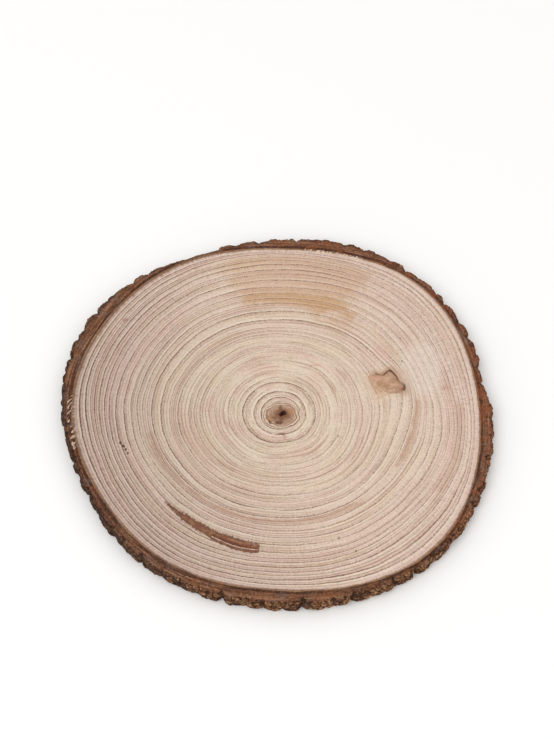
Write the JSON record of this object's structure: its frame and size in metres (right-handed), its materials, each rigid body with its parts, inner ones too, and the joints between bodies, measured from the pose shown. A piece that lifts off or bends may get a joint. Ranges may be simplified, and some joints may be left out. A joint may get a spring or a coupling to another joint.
{
  "type": "wood log slice",
  "caption": "Thin round slice sawn across a conifer trunk, bark left on, with growth rings, a knot and furrowed bark round the edge; lies flat as a stand or board",
  "frame": {"origin": "on the underside, where the pith meets it", "axes": "+Z along the trunk, up from the face it rests on; +X to the right and +Y away from the picture's camera, across the trunk"},
  "size_m": [0.3042, 0.3061, 0.012],
  "materials": {
    "sanded_wood": "pale end grain, sawn and lightly sanded, matt, with darker latewood lines",
    "rough_bark": "brown bark, smooth where sawn, rough, furrowed and grey-black outside"
  },
  "bodies": {
    "root": {"wood": "sanded_wood", "bark": "rough_bark"}
  },
  "joints": []
}
